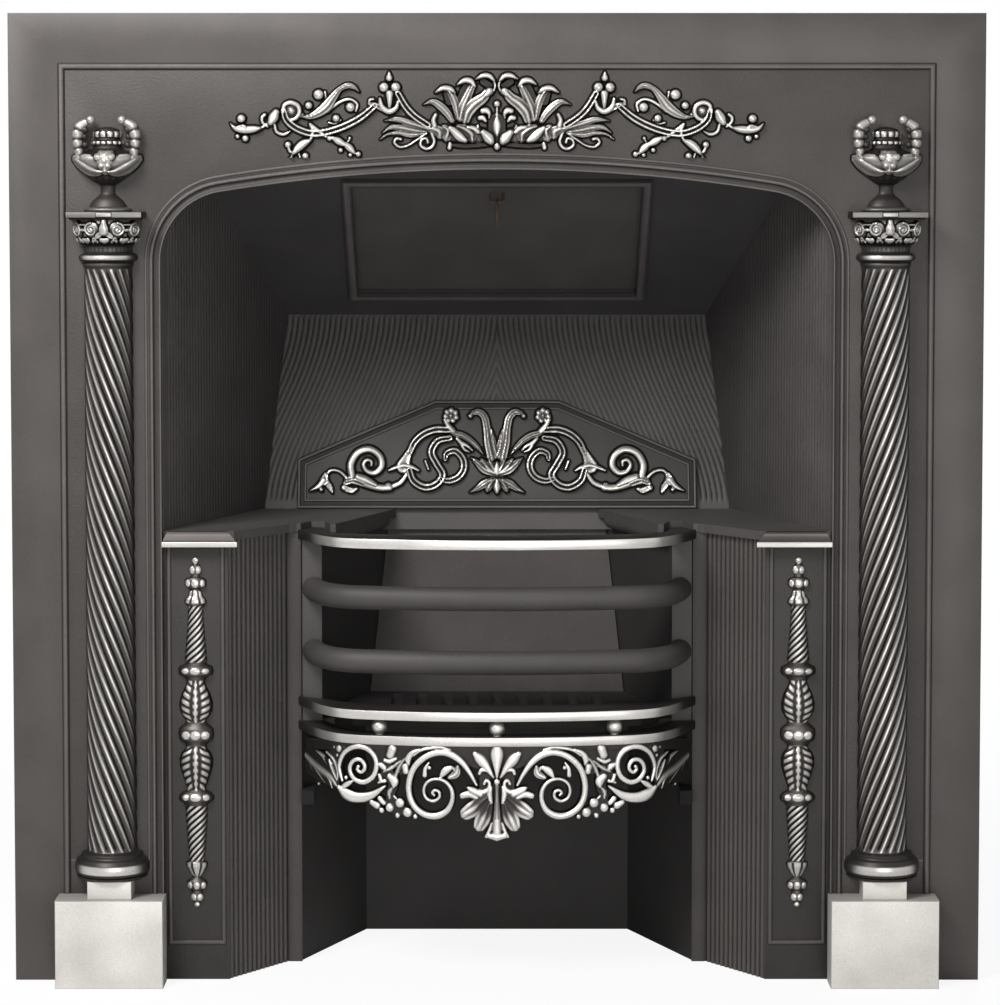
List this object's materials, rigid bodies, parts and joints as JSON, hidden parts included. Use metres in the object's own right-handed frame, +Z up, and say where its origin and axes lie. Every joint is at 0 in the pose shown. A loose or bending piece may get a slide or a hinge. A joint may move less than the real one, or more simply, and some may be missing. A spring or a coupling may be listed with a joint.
{
  "type": "hob grate fireplace",
  "caption": "Square cast iron hob grate fireplace with twisted half columns, urns, an arched opening, raised fire basket, hobs, sloping canopy and damper flap.",
  "frame": {"origin": "centre of the box's base, on the hearth: midway between the columns' bases and the fireback", "axes": "+Z up, +Y into the chimney, +X to the right seen from the room"},
  "size_m": [0.965, 0.3404, 0.965],
  "materials": {
    "black_iron": "blackleaded grey-black cast iron with fine sand-cast grain",
    "fire_iron": "darker blackened cast iron round the fire",
    "bright_iron": "ground and brushed bright iron",
    "burnished_iron": "burnished relief with blackened hollows",
    "rusted_wire": "dull brown iron wire",
    "fire_brick": "fireclay brick darkened with grate polish"
  },
  "bodies": {
    "grate": {"front_plate": "black_iron", "left_pilaster_panel": "black_iron", "right_pilaster_panel": "black_iron", "left_fluted_return": "black_iron", "right_fluted_return": "black_iron", "left_hob_plate": "black_iron", "right_hob_plate": "black_iron", "reeded_fireback": "black_iron", "crest_panel": "black_iron", "left_low_wall_lug": "black_iron", "left_high_wall_lug": "black_iron", "right_low_wall_lug": "black_iron", "right_high_wall_lug": "black_iron", "left_low_nut": "black_iron", "left_middle_nut": "black_iron", "left_high_nut": "black_iron", "right_low_nut": "black_iron", "right_middle_nut": "black_iron", "right_high_nut": "black_iron", "left_upper_cheek": "fire_iron", "right_upper_cheek": "fire_iron", "canopy_plate": "fire_iron", "damper_pin": "fire_iron", "left_side_plate": "fire_iron", "right_side_plate": "fire_iron", "left_ash_cheek": "fire_iron", "right_ash_cheek": "fire_iron", "left_front_lug": "fire_iron", "right_front_lug": "fire_iron", "ash_back": "fire_iron", "left_plinth_block": "bright_iron", "right_plinth_block": "bright_iron", "left_hob_nosing": "bright_iron", "right_hob_nosing": "bright_iron", "left_column": "burnished_iron", "right_column": "burnished_iron", "left_capital": "burnished_iron", "right_capital": "burnished_iron", "left_urn": "burnished_iron", "right_urn": "burnished_iron", "frieze_ornament": "burnished_iron", "left_baluster": "burnished_iron", "right_baluster": "burnished_iron", "crest_ornament": "burnished_iron", "back_brick": "fire_brick"},
    "fire_front": {"top_rail": "bright_iron", "upper_bar": "fire_iron", "lower_bar": "fire_iron", "lower_rail": "bright_iron", "left_ball_spacer": "bright_iron", "middle_ball_spacer": "bright_iron", "right_ball_spacer": "bright_iron", "apron": "burnished_iron", "left_end_plate": "fire_iron", "right_end_plate": "fire_iron"},
    "bottom_grate": {"bottom_grate": "fire_iron"},
    "damper_flap": {"damper_flap": "fire_iron", "damper_staple": "rusted_wire"},
    "damper_ring": {"damper_ring": "rusted_wire"}
  },
  "joints": [
    {"name": "damper_hinge", "type": "hinge", "parent": "grate", "child": "damper_flap", "pos_m": [0, 0.15163, 0.68415], "axis": [-1, 0, 0], "range_deg": [0, 55]},
    {"name": "ring_swing", "type": "hinge", "parent": "damper_flap", "child": "damper_ring", "pos_m": [0, -0.00898, 0.77922], "axis": [-1, 0, 0], "range_deg": [-30, 70]},
    {"name": "grate_lift", "type": "slide", "parent": "grate", "child": "bottom_grate", "axis": [0, 0, 1], "range_m": [0, 0.15]},
    {"name": "front_draw", "type": "slide", "parent": "grate", "child": "fire_front", "axis": [0, -1, 0], "range_m": [0, 0.06]}
  ]
}
